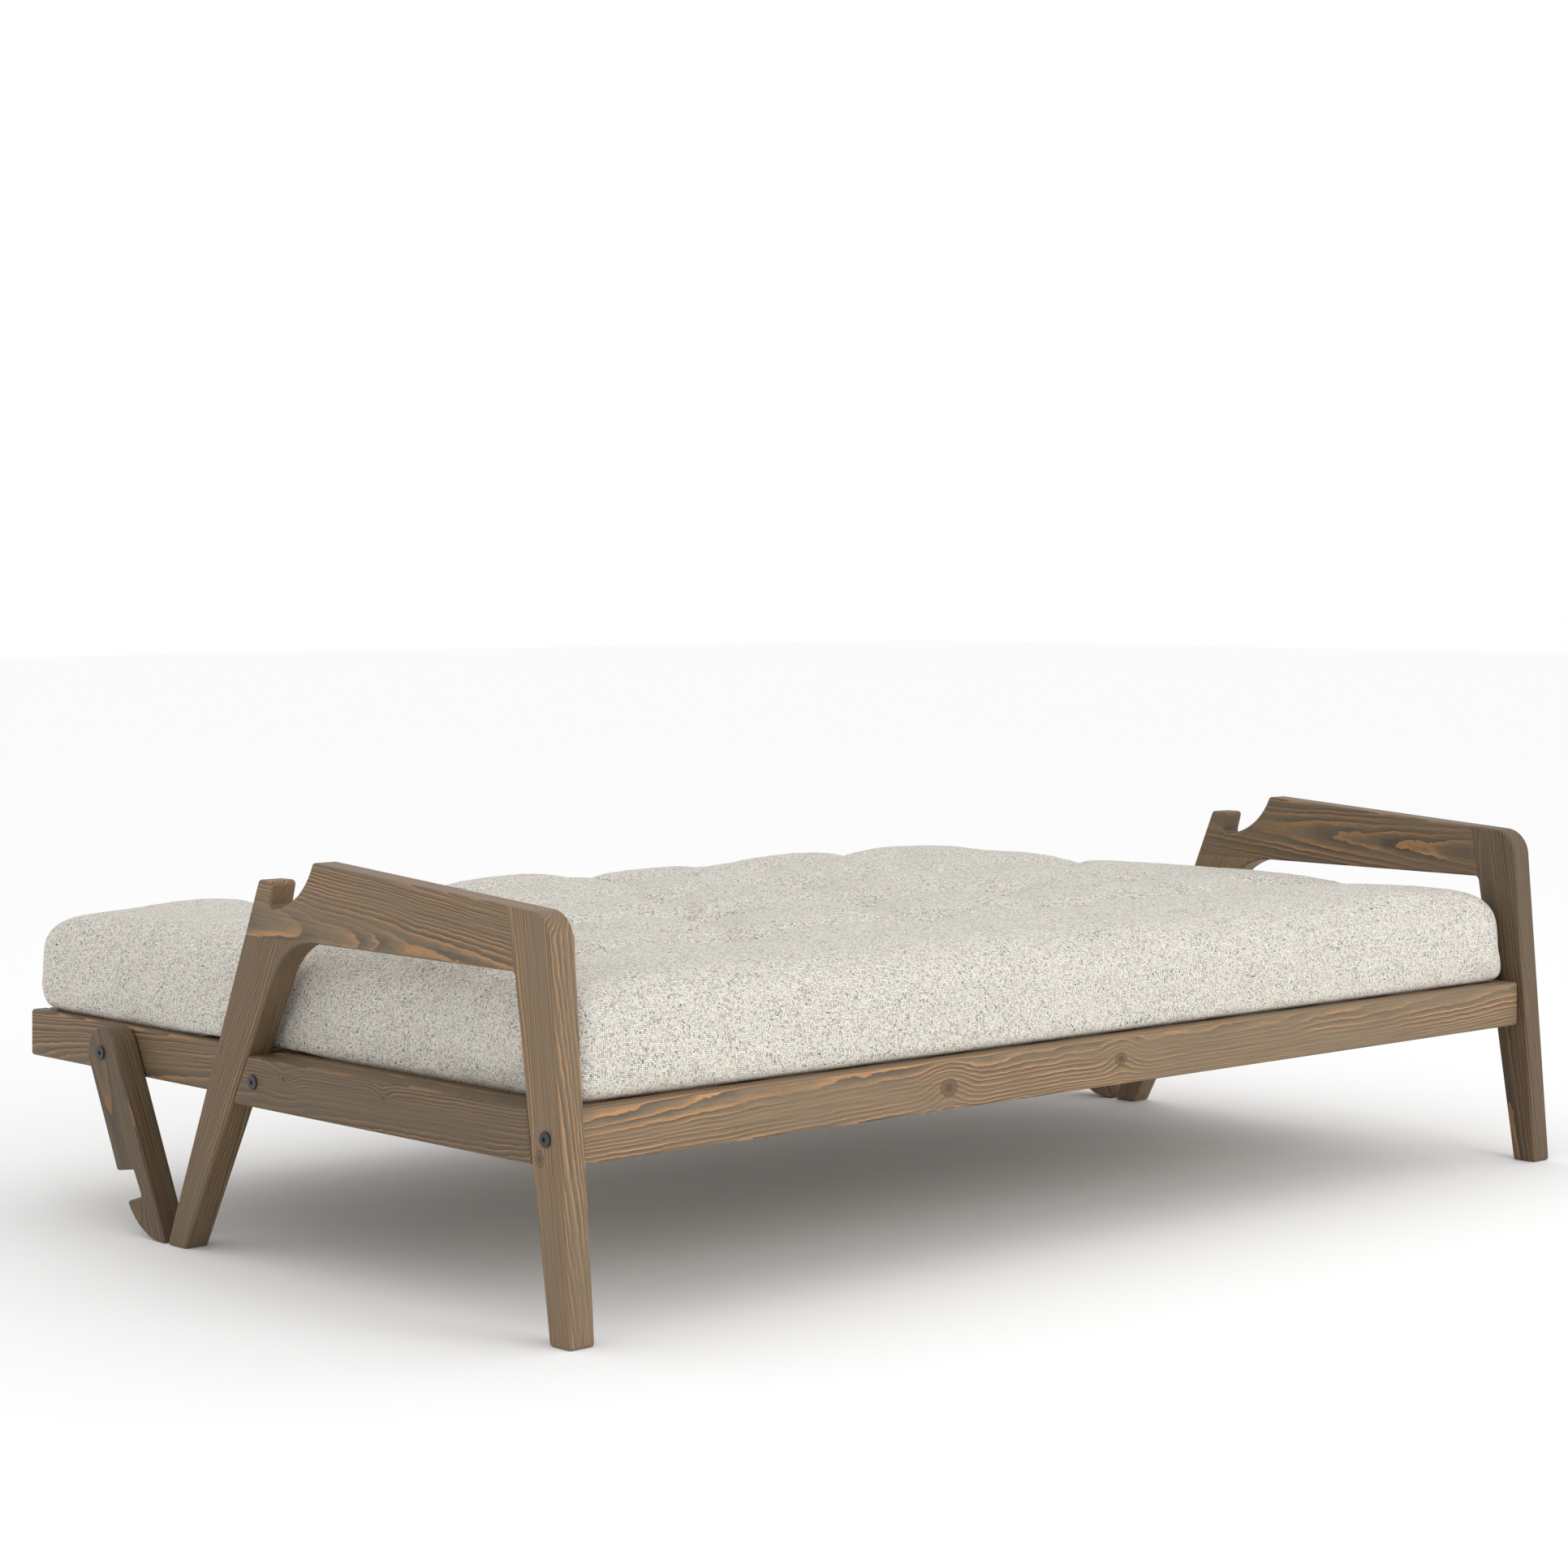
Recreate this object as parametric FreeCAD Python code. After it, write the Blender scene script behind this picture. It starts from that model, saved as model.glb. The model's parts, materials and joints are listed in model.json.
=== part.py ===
import FreeCAD, Part
import math
import os

from FreeCAD import Rotation, Vector

# Futon sofa bed in its flat bed position, in millimetres.
# +X runs along the long front rail, +Y to the back and +Z up. Every profile is drawn with y
# measured from the front foot's front face, and the parts are moved at the end, so that the
# origin is the middle of the footprint, on the floor.

# ---- overall sizes ----
overall_width = 2040.0  # over the outer faces of the two arms
bed_depth = 1360.0  # from the front foot to the far end of the back frame
arm_depth = 911.0  # from the front foot to the back of the rear foot
arm_height = 565.0  # at the rear end of the armrest

# ---- boards ----
arm_board = 40.0
rail_board = 32.0
side_board = 28.0
rail_height = 70.0
rail_middle_z = 254.5
edge_round = 4.0
rail_round = 5.0
slat_round = 3.0

# ---- arm outline ----
front_foot = 42.0
front_leg_front_slope = 0.0785  # y gained per unit of height
front_leg_rear_slope = 0.1555
rear_foot = 45.0
rear_leg_rear_slope = -0.4312
rear_leg_front_slope = -0.548
armrest_rise = 0.0634  # height gained per unit of depth
armrest_board = 109.0  # under the highest point of the armrest
front_corner_round = 42.0
window_front_round = 8.0
window_rear_round = 110.0
foot_round = 5.0

# ---- dip and nub that catch the hook leg ----
dip_drop = 69.0
dip_radius = 111.0
nub_height = 38.0
nub_base = 42.0
nub_front_slope = -0.281
nub_round = 6.0
dip_corner_round = 5.0

# ---- hook leg ----
hook_width = 75.0
hook_gap = 3.0  # all round the nub and along the dip when latched
hook_foot_gap = 5.0  # behind the rear foot
hook_foot_flat = 12.0
hook_pivot_behind = 177.0  # behind the rear foot
hook_corner_round = 4.0
hook_rim_round = 3.5

# ---- frames ----
front_rail_setback = 32.4
seat_end_before_hinge = 75.0
back_start_before_hinge = 35.0
hinge_behind_leg_middle = 20.0
hinge_rail_behind_hinge = 25.0
washer_thickness = 2.0
slat_count = 10
slat_width = 90.0
slat_thickness = 18.0
slat_drop = 10.0  # slat tops below the rail tops
slat_end_gap = 1.0
slat_edge_gap = 45.0  # outermost slats to the side rails
ledger_height = 25.0
ledger_depth = 25.0
ledger_end_gap = 4.0  # beyond the hook pivot's nuts, which stand inside the side rails

# ---- fasteners ----
bolt_radius = 5.0
bolt_head_radius = 10.0
bolt_head_height = 3.0
bolt_edge_round = 1.0
hex_socket = 6.0  # across flats
hex_depth = 2.0
running_clearance = 0.05
washer_radius = 13.0
frame_bolt_length = 90.0
cross_nut_radius = 7.0
cross_nut_length = 24.0
nut_before_tip = 18.0
hinge_bolt_grip = 30.0  # in the rear leg
pivot_nut_height = 6.0
pivot_nut_radius = 9.0
screw_radius = 2.5
screw_head_radius = 4.5
screw_head_height = 2.0
screw_length = 38.0
dowel_radius = 5.0
dowel_length = 50.0
dowel_spacing = 34.0
corner_dowel_radius = 4.0
corner_dowel_length = 40.0
corner_dowel_spacing = 44.0

# ---- mattress ----
mattress_arm_gap = 5.0
mattress_front = 40.0
mattress_end_inset = 5.0
mattress_thickness = 155.0
mattress_corner = 60.0
mattress_top_round = 58.0
mattress_bottom_round = 22.0
fold_gap = 1.5
cover_thickness = 4.0

# ---- places that follow from the sizes ----
outer_x = overall_width / 2
inner_x = outer_x - arm_board
rail_bottom = rail_middle_z - rail_height / 2
rail_top = rail_middle_z + rail_height / 2
dip_floor = arm_height - dip_drop
window_top = arm_height - armrest_board
slat_top = rail_top - slat_drop


def front_leg_front(z):
    return front_leg_front_slope * z


def front_leg_rear(z):
    return front_foot + front_leg_rear_slope * z


def rear_leg_rear(z):
    return arm_depth + rear_leg_rear_slope * z


def rear_leg_front(z):
    return arm_depth - rear_foot + rear_leg_front_slope * z


dip_centre = Vector(0, rear_leg_rear(dip_floor) - nub_base, dip_floor + dip_radius)
armrest_end_y = dip_centre.y - math.sqrt(dip_radius**2 - (dip_centre.z - arm_height) ** 2)
leg_middle = (rear_leg_front(rail_middle_z) + rear_leg_rear(rail_middle_z)) / 2
hinge = Vector(0, leg_middle + hinge_behind_leg_middle, rail_middle_z)
pivot = Vector(0, arm_depth + hook_pivot_behind, rail_middle_z)
seat_end = hinge.y - seat_end_before_hinge
back_start = hinge.y - back_start_before_hinge
hinge_rail_front = hinge.y + hinge_rail_behind_hinge
back_side_outer = inner_x - washer_thickness

# ---- latched position ----
# The foot of the hook leg is an arc that drops into the dip on the dip's own centre. The
# latched pivot is where the pivot's circle about the hinge meets its circle about that centre.
hook_foot_radius = dip_radius - hook_gap
hook_foot_centre = Vector(0, arm_depth + hook_foot_gap + hook_foot_flat, hook_foot_radius)


def direction(v):
    return math.degrees(math.atan2(v.z, v.y))


def latched_pivot():
    swing = (pivot - hinge).Length
    reach = (pivot - hook_foot_centre).Length
    span = dip_centre - hinge
    along = (swing**2 - reach**2 + span.Length**2) / (2 * span.Length)
    across = math.sqrt(swing**2 - along**2)
    unit = span / span.Length
    return hinge + unit * along + Vector(0, unit.z, -unit.y) * across


latched = latched_pivot()
fold_angle = direction(latched - hinge) - direction(pivot - hinge)
latched_turn = (direction(dip_centre - latched) - direction(hook_foot_centre - pivot)) % 360.0
hook_angle = latched_turn - fold_angle
mitre_slope = math.tan(math.radians(fold_angle / 2))


# ---- helpers ----
def prism(corners, x0, x1, arc_middles=None):
    """Extrude a closed outline in the (y, z) plane from x0 to x1.

    arc_middles gives a middle point for each side that is an arc, by the number of its first corner.
    """
    arc_middles = arc_middles or {}
    edges = []
    for i, start in enumerate(corners):
        end = corners[(i + 1) % len(corners)]
        if i in arc_middles:
            edges.append(Part.Arc(start, arc_middles[i], end).toShape())
        else:
            edges.append(Part.makeLine(start, end))
    solid = Part.Face(Part.Wire(edges)).extrude(Vector(x1 - x0, 0, 0))
    solid.translate(Vector(x0, 0, 0))
    return solid


def at(y, z):
    return Vector(0, y, z)


def arc_middle(centre, start, end):
    """Middle point of the shorter arc about centre from start to end."""
    chord_middle = (start + end) / 2 - centre
    return centre + chord_middle * ((start - centre).Length / chord_middle.Length)


def block(x0, x1, y0, y1, z0, z1):
    return Part.makeBox(x1 - x0, y1 - y0, z1 - z0, Vector(x0, y0, z0))


def rod(x0, x1, centre, radius):
    """Round bar along X."""
    return Part.makeCylinder(radius, x1 - x0, Vector(x0, centre.y, centre.z), Vector(1, 0, 0))


def corner_edges(shape, corner):
    """Edges along X that pass through a corner of the outline."""
    found = []
    for edge in shape.Edges:
        ends = [v.Point for v in edge.Vertexes]
        off = [math.hypot(p.y - corner.y, p.z - corner.z) for p in ends]
        if edge.BoundBox.XLength > 1 and max(off) < 0.01:
            found.append(edge)
    return found


def round_corners(shape, corners):
    """Round the corners of a prism, given as (corner, radius)."""
    for corner, radius in corners:
        shape = shape.makeFillet(radius, corner_edges(shape, corner))
    return shape


def round_rims(shape, x0, x1, radius):
    """Round the rims of a prism's two flat faces, at x0 and x1."""
    rims = []
    for edge in shape.Edges:
        box = edge.BoundBox
        if box.XLength < 1e-6 and min(abs(box.XMin - x0), abs(box.XMin - x1)) < 1e-6:
            rims.append(edge)
    return shape.makeFillet(radius, rims)


def round_all(shape, radius):
    return shape.makeFillet(radius, shape.Edges)


def mirrored(shape):
    return shape.mirror(Vector(0, 0, 0), Vector(1, 0, 0))


def meet(p, p_dir, q, q_dir):
    """Where two lines in the (y, z) plane cross."""
    det = p_dir.y * q_dir.z - p_dir.z * q_dir.y
    t = ((q.y - p.y) * q_dir.z - (q.z - p.z) * q_dir.y) / det
    return p + p_dir * t


parts = {}


def keep(name, shape):
    parts[name] = shape


def keep_pair(name, right_shape):
    """Store a right-hand piece and its mirror image."""
    keep("right_" + name, right_shape)
    keep("left_" + name, mirrored(right_shape))


# ---- arms ----
def armrest_top(y):
    return arm_height + armrest_rise * (y - armrest_end_y)


def arm_blank():
    """Front leg, armrest and rear leg as one board, with every corner rounded."""
    nub_top = dip_floor + nub_height
    front_z = armrest_top(0) / (1 - armrest_rise * front_leg_front_slope)
    foot_front = at(0, 0)
    front_top = at(front_leg_front(front_z), front_z)
    armrest_end = at(armrest_end_y, arm_height)
    dip_end = at(dip_centre.y, dip_floor)
    nub_front = at(dip_centre.y + nub_front_slope * nub_height, nub_top)
    nub_rear = at(rear_leg_rear(nub_top), nub_top)
    heel = at(arm_depth, 0)
    rear_foot_front = at(arm_depth - rear_foot, 0)
    window_rear = at(rear_leg_front(window_top), window_top)
    window_front = at(front_leg_rear(window_top), window_top)
    foot_rear = at(front_foot, 0)
    rounds = [
        (foot_front, foot_round),
        (front_top, front_corner_round),
        (armrest_end, nub_round),
        (dip_end, dip_corner_round),
        (nub_front, nub_round),
        (nub_rear, nub_round),
        (heel, foot_round),
        (rear_foot_front, foot_round),
        (window_rear, window_rear_round),
        (window_front, window_front_round),
        (foot_rear, foot_round),
    ]
    arcs = {2: arc_middle(dip_centre, armrest_end, dip_end)}
    blank = prism([corner for corner, radius in rounds], inner_x, outer_x, arcs)
    blank = round_corners(blank, rounds)
    return round_rims(blank, inner_x, outer_x, edge_round)


def arm_pieces():
    """The arm board parted at its two glue lines: front leg, armrest and rear leg."""
    blank = arm_blank()
    x0 = inner_x - 1
    x1 = outer_x + 1
    above = 2 * arm_height
    front_line = [at(front_leg_rear(-1), -1), at(front_leg_rear(above), above)]
    front = prism([at(-arm_depth, -1), *front_line, at(-arm_depth, above)], x0, x1)
    window_middle = (front_leg_rear(window_top) + rear_leg_front(window_top)) / 2
    low = block(x0, x1, window_middle, 2 * arm_depth, -1, window_top)
    rest = blank.cut(front)
    return blank.common(front), rest.cut(low), rest.common(low)


def arm_side_rail():
    """Lower rail of the arm, cut to the slopes of the two legs."""
    ends = [
        at(front_leg_rear(rail_bottom), rail_bottom),
        at(rear_leg_front(rail_bottom), rail_bottom),
        at(rear_leg_front(rail_top), rail_top),
        at(front_leg_rear(rail_top), rail_top),
    ]
    return round_all(prism(ends, inner_x, outer_x), rail_round)


def arm_dowels():
    """Dowels across the glue lines of the right arm."""
    middle_x = (inner_x + outer_x) / 2
    armrest_middle = (window_top + armrest_top(front_leg_rear(window_top))) / 2
    rear_leg_middle = (rear_leg_front(window_top) + rear_leg_rear(window_top)) / 2
    level = Vector(0, 1, 0)
    upright = Vector(0, 0, 1)
    dowels = []
    for offset in (-dowel_spacing / 2, dowel_spacing / 2):
        high = armrest_middle + offset
        low = rail_middle_z + offset
        joints = [
            (at(front_leg_rear(high), high), level),
            (at(front_leg_rear(low), low), level),
            (at(rear_leg_front(low), low), level),
            (at(rear_leg_middle + offset, window_top), upright),
        ]
        for middle, way in joints:
            start = middle - way * (dowel_length / 2) + Vector(middle_x, 0, 0)
            dowels.append(Part.makeCylinder(dowel_radius, dowel_length, start, way))
    return dowels


# ---- hook leg ----
def to_rest(p):
    """Carry a point of the latched hook leg back to its resting place."""
    return pivot + Rotation(Vector(1, 0, 0), -latched_turn).multVec(p - latched)


def notch_lines():
    """The nub's front, top and rear faces, moved out by the gap and carried back to rest.

    Each line is a point and a direction.
    """
    front_way = Vector(0, nub_front_slope, 1)
    rear_way = Vector(0, rear_leg_rear_slope, 1)
    front = at(dip_centre.y - hook_gap * front_way.Length, dip_floor)
    top = at(dip_centre.y, dip_floor + nub_height + hook_gap)
    rear = at(rear_leg_rear(dip_floor) + hook_gap * rear_way.Length, dip_floor)
    lines = []
    for point, way in ((front, front_way), (top, Vector(0, 1, 0)), (rear, rear_way)):
        start = to_rest(point)
        lines.append((start, to_rest(point + way) - start))
    return lines


def on_foot_arc(start, way):
    """Where a line crosses the circle of the hook leg's foot, on its rear side."""
    unit = way / way.Length
    from_centre = start - hook_foot_centre
    half_b = from_centre.dot(unit)
    root = math.sqrt(half_b**2 - from_centre.Length**2 + hook_foot_radius**2)
    crossings = [start + unit * (-half_b + sign * root) for sign in (-1, 1)]
    return max(crossings, key=lambda p: p.y)


def hook_leg():
    """Leg with a round top about the pivot and a hooked foot, standing on the floor."""
    half = hook_width / 2
    foot = at(arm_depth + hook_foot_gap, 0)
    to_pivot = pivot - foot
    slope = math.atan2(to_pivot.z, to_pivot.y) + math.asin(half / to_pivot.Length)
    along = at(math.cos(slope), math.sin(slope))
    across = at(along.z, -along.y) * half
    foot_end = at(hook_foot_centre.y, 0)
    front_line, top_line, rear_line = notch_lines()
    lower_in = meet(*front_line, *top_line)
    upper_in = meet(*rear_line, *top_line)
    upper_out = meet(pivot + across, along, *rear_line)
    tip = on_foot_arc(*front_line)
    front_top = pivot - across
    rear_top = pivot + across
    corners = [foot, foot_end, tip, lower_in, upper_in, upper_out, rear_top, front_top]
    arcs = {1: arc_middle(hook_foot_centre, foot_end, tip), 6: pivot + along * half}
    leg = prism(corners, inner_x, outer_x, arcs)
    sharp = [foot, tip, lower_in, upper_in, upper_out]
    leg = round_corners(leg, [(corner, hook_corner_round) for corner in sharp])
    leg = round_rims(leg, inner_x, outer_x, hook_rim_round)
    return leg.cut(rod(inner_x, outer_x, pivot, bolt_radius + running_clearance))


# ---- fasteners ----
def bolt_head(face_x, centre):
    """Flat round head that stands out to +X from face_x, with a hex socket."""
    top = face_x + bolt_head_height
    head = rod(face_x, top, centre, bolt_head_radius)
    rim = [e for e in head.Edges if abs(e.BoundBox.XMin - top) < 1e-6 and e.BoundBox.XLength < 1e-6]
    head = head.makeFillet(bolt_edge_round, rim)
    corner_radius = hex_socket / math.sqrt(3)
    turns = [math.radians(60 * i) for i in range(6)]
    corners = [centre + at(math.cos(a), math.sin(a)) * corner_radius for a in turns]
    return head.cut(prism(corners, top - hex_depth, top))


def bolt(face_x, tip_x, centre):
    """Bolt that goes in at face_x, from +X."""
    shank = rod(tip_x, face_x, centre, bolt_radius)
    return bolt_head(face_x, centre).fuse(shank).removeSplitter()


def frame_bolts_and_nuts():
    """Bolts through the arm into the ends of the seat frame's long rails, and their cross nuts."""
    tip_x = outer_x - frame_bolt_length
    bolts, nuts = [], []
    for y in (front_rail_setback + rail_board / 2, seat_end - rail_board / 2):
        centre = at(y, rail_middle_z)
        bolts.append(bolt(outer_x, tip_x, centre))
        base = Vector(tip_x + nut_before_tip, y, rail_middle_z - cross_nut_length / 2)
        nut = Part.makeCylinder(cross_nut_radius, cross_nut_length, base)
        nuts.append(nut.cut(rod(tip_x, outer_x, centre, bolt_radius)))
    return bolts, nuts


def hinge_bolt():
    """Bolt from inside, through the back frame's side rail into the rear leg."""
    head_x = back_side_outer - side_board
    inward = bolt(-head_x, -inner_x - hinge_bolt_grip, hinge)
    return mirrored(inward)


def pivot_bolt():
    """Bolt through the hook leg and the back frame's side rail."""
    return bolt(outer_x, back_side_outer - side_board - pivot_nut_height, pivot)


def pivot_nut():
    x1 = back_side_outer - side_board
    x0 = x1 - pivot_nut_height
    return rod(x0, x1, pivot, pivot_nut_radius).cut(rod(x0, x1, pivot, bolt_radius))


def washer(centre):
    """Washer on the back frame's side rail, just clear of the leg that turns against it."""
    x1 = inner_x - running_clearance
    ring = rod(back_side_outer, x1, centre, washer_radius)
    return ring.cut(rod(back_side_outer, x1, centre, bolt_radius))


def slat_screw(x, y):
    """Countersunk screw from a slat's top into the ledger below."""
    head_z = slat_top - screw_head_height
    head = Part.makeCone(screw_radius, screw_head_radius, screw_head_height, Vector(x, y, head_z))
    shank_length = screw_length - screw_head_height
    shank = Part.makeCylinder(screw_radius, shank_length, Vector(x, y, slat_top - screw_length))
    return shank.fuse(head)


# ---- slatted frames ----
def slat_centres(half_width):
    """Middles of the slats, evenly spread between the side rails."""
    first = -half_width + slat_edge_gap + slat_width / 2
    step = -2 * first / (slat_count - 1)
    return [first + step * i for i in range(slat_count)]


def slat(x, y0, y1):
    z0 = slat_top - slat_thickness
    shape = block(x - slat_width / 2, x + slat_width / 2, y0, y1, z0, slat_top)
    long_edges = [e for e in shape.Edges if e.BoundBox.YLength > 1]
    return shape.makeFillet(slat_round, long_edges)


def ledger(half_width, y0):
    """Strip under the slat ends, stopping short of the side rails and their nuts."""
    x = half_width - pivot_nut_height - ledger_end_gap
    z1 = slat_top - slat_thickness
    return block(-x, x, y0, y0 + ledger_depth, z1 - ledger_height, z1)


def long_rail(half_width, y0):
    return round_all(block(-half_width, half_width, y0, y0 + rail_board, rail_bottom, rail_top), rail_round)


def side_rail(outer, y0, y1):
    return round_all(block(outer - side_board, outer, y0, y1, rail_bottom, rail_top), rail_round)


def keep_slats(frame, half_width, y0, y1):
    """Slats, screws and ledgers of one frame, between its long rails' inner faces y0 and y1."""
    rear_ledger = y1 - ledger_depth
    screw_rows = (y0 + ledger_depth / 2, rear_ledger + ledger_depth / 2)
    screws = []
    for number, x in enumerate(slat_centres(half_width), 1):
        own = [slat_screw(x, y) for y in screw_rows]
        keep(f"{frame}_slat_{number}", slat(x, y0 + slat_end_gap, y1 - slat_end_gap).cut(own))
        screws.extend(own)
    keep(f"{frame}_slat_screws", Part.makeCompound(screws))
    keep(f"{frame}_front_ledger", ledger(half_width, y0).cut(screws))
    keep(f"{frame}_rear_ledger", ledger(half_width, rear_ledger).cut(screws))


def corner_dowels(middles, way):
    """Two dowels at each corner of a frame, on both sides of the object."""
    dowels = []
    for middle in middles:
        for offset in (-corner_dowel_spacing / 2, corner_dowel_spacing / 2):
            start = middle - way * (corner_dowel_length / 2) + at(0, offset)
            dowel = Part.makeCylinder(corner_dowel_radius, corner_dowel_length, start, way)
            dowels.extend([dowel, mirrored(dowel)])
    return dowels


# ---- mattress ----
def mattress_block(inset):
    """The whole mattress, smaller by inset on every side."""
    x = inner_x - mattress_arm_gap - inset
    z0 = rail_top + inset
    z1 = rail_top + mattress_thickness - inset
    y1 = bed_depth - mattress_end_inset - inset
    shape = block(-x, x, mattress_front + inset, y1, z0, z1)
    upright = [e for e in shape.Edges if e.BoundBox.ZLength > 1]
    shape = shape.makeFillet(mattress_corner - inset, upright)
    top = [e for e in shape.Edges if e.BoundBox.ZMin > z1 - 0.01]
    shape = shape.makeFillet(mattress_top_round - inset, top)
    bottom = [e for e in shape.Edges if e.BoundBox.ZMax < z0 + 0.01]
    return shape.makeFillet(mattress_bottom_round - inset, bottom)


def fold_wedge(shift):
    """Wedge over the hinge between the two mitre planes, each moved out by shift."""
    apex_z = hinge.z - shift * math.hypot(1, mitre_slope) / mitre_slope
    top_z = rail_top + 2 * mattress_thickness
    half = mitre_slope * (top_z - apex_z)
    corners = [at(hinge.y, apex_z), at(hinge.y + half, top_z), at(hinge.y - half, top_z)]
    return prism(corners, -outer_x, outer_x)


def front_and_back(shape):
    return sorted(shape.Solids, key=lambda solid: solid.CenterOfMass.y)


def keep_mattress():
    """Cover and filling of the seat and back halves, and the soft fold between them."""
    whole = mattress_block(0)
    halves = front_and_back(whole.cut(fold_wedge(fold_gap / 2)))
    filling = mattress_block(cover_thickness)
    cores = front_and_back(filling.cut(fold_wedge(fold_gap / 2 + cover_thickness)))
    for frame, half, core in zip(("seat", "back"), halves, cores):
        keep(f"mattress_{frame}_cover", half.cut(core))
        keep(f"mattress_{frame}_filling", core)
    keep("mattress_fold", whole.common(fold_wedge(-fold_gap / 2)))


# ---- assembly ----
def keep_arms(bolts):
    front_leg, armrest, rear_leg = arm_pieces()
    dowels = arm_dowels()
    keep_pair("front_leg", front_leg.cut(dowels + bolts))
    keep_pair("armrest", armrest.cut(dowels))
    keep_pair("rear_leg", rear_leg.cut(dowels + [hinge_bolt()]))
    keep_pair("arm_side_rail", arm_side_rail().cut(dowels + bolts))
    keep("arm_dowels", Part.makeCompound(dowels + [mirrored(d) for d in dowels]))


def keep_seat_frame(hardware):
    """Long rails run from arm to arm; the side rails stand between them."""
    rail_front = front_rail_setback
    side_front = front_rail_setback + rail_board
    side_end = seat_end - rail_board
    x = inner_x - side_board / 2
    middles = [Vector(x, side_front, rail_middle_z), Vector(x, side_end, rail_middle_z)]
    dowels = corner_dowels(middles, Vector(0, 1, 0))
    tools = dowels + hardware + [mirrored(piece) for piece in hardware]
    keep("seat_front_rail", long_rail(inner_x, rail_front).cut(tools))
    keep("seat_rear_rail", long_rail(inner_x, side_end).cut(tools))
    keep_pair("seat_side_rail", side_rail(inner_x, side_front, side_end).cut(dowels))
    keep("seat_corner_dowels", Part.makeCompound(dowels))
    keep_slats("seat", inner_x - side_board, side_front, side_end)


def keep_back_frame():
    """Side rails run full length; the long rails stand between them."""
    half_width = back_side_outer - side_board
    far_rail_front = bed_depth - rail_board
    middles = [
        Vector(half_width, hinge_rail_front + rail_board / 2, rail_middle_z),
        Vector(half_width, far_rail_front + rail_board / 2, rail_middle_z),
    ]
    dowels = corner_dowels(middles, Vector(1, 0, 0))
    side = side_rail(back_side_outer, back_start, bed_depth).cut(dowels)
    side = side.cut(rod(half_width, back_side_outer, hinge, bolt_radius + running_clearance))
    side = side.cut(rod(half_width, back_side_outer, pivot, bolt_radius))
    keep_pair("back_side_rail", side)
    keep("back_hinge_rail", long_rail(half_width, hinge_rail_front).cut(dowels))
    keep("back_far_rail", long_rail(half_width, far_rail_front).cut(dowels))
    keep("back_corner_dowels", Part.makeCompound(dowels))
    keep_slats("back", half_width, hinge_rail_front + rail_board, far_rail_front)


def keep_both_sides(name, right_pieces):
    """Store fasteners of both sides as one group of separate solids."""
    keep(name, Part.makeCompound(right_pieces + [mirrored(piece) for piece in right_pieces]))


def build():
    bolts, nuts = frame_bolts_and_nuts()
    keep_arms(bolts)
    keep_seat_frame(bolts + nuts)
    keep_back_frame()
    keep_pair("hook_leg", hook_leg())
    keep_both_sides("frame_bolts", bolts)
    keep_both_sides("frame_cross_nuts", nuts)
    keep_both_sides("hinge_bolts", [hinge_bolt()])
    keep_both_sides("hinge_washers", [washer(hinge)])
    keep_both_sides("hook_pivot_bolts", [pivot_bolt()])
    keep_both_sides("hook_pivot_washers", [washer(pivot)])
    keep_both_sides("hook_pivot_nuts", [pivot_nut()])
    keep_mattress()


def export():
    os.makedirs("parts", exist_ok=True)
    to_origin = Vector(0, -bed_depth / 2, 0)
    for name, shape in parts.items():
        shape.translate(to_origin)
        shape.exportStep(f"parts/{name}.step")
    print(len(parts), "parts")
    print("hinge y z", hinge.y - bed_depth / 2, hinge.z, "opens", fold_angle)
    print("hook pivot y z", pivot.y - bed_depth / 2, pivot.z, "turns", hook_angle)


build()
export()
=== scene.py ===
import json
import math
import random

import bpy
import numpy as np
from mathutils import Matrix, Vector, noise


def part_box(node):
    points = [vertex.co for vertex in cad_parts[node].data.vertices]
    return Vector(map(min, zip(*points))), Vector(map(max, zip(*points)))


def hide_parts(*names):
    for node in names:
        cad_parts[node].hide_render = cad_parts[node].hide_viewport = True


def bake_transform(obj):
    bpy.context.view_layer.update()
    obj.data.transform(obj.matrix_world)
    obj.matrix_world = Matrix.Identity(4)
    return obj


# Futon sofa bed, flat, in metres. The boards and fittings are the CAD nodes with procedural
# materials. The mattress is one swelled and tufted mesh in place of its five CAD nodes.

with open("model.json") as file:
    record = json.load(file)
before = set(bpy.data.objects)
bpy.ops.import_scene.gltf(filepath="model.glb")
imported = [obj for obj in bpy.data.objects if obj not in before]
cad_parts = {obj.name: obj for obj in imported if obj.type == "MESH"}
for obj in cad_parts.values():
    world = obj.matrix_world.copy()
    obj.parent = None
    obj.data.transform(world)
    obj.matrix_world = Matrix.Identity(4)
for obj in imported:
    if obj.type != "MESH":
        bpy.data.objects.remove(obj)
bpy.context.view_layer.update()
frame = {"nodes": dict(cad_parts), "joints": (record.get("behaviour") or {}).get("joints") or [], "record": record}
subparts = sorted(frame["record"]["subparts"], key=lambda part: part["node"])
random.seed(7)


# ---- camera, floor and light ----
CAMERA_PLACE = (-3.66933, -3.96505, 0.95664)
CAMERA_HEADING = -42.44  # degrees from +Y
CAMERA_LENS = 78.95
CAMERA_SENSOR = 36.0
CAMERA_SHIFT_DOWN = 0.1357
FLOOR_HALF = 30.0
FLOOR_COLOR = (0.96, 0.96, 0.96)
FLOOR_ROUGHNESS = 0.9
SKY_STRENGTH = 1.0
SOFTBOX_PLACE = (0.5, -5.0, 2.2)
SOFTBOX_TARGET = (0, 0, 0.3)
SOFTBOX_SIZE = 3.0
SOFTBOX_POWER = 70.0


def add_object(name, data):
    thing = bpy.data.objects.new(name, data)
    bpy.context.scene.collection.objects.link(thing)
    return thing


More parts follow.
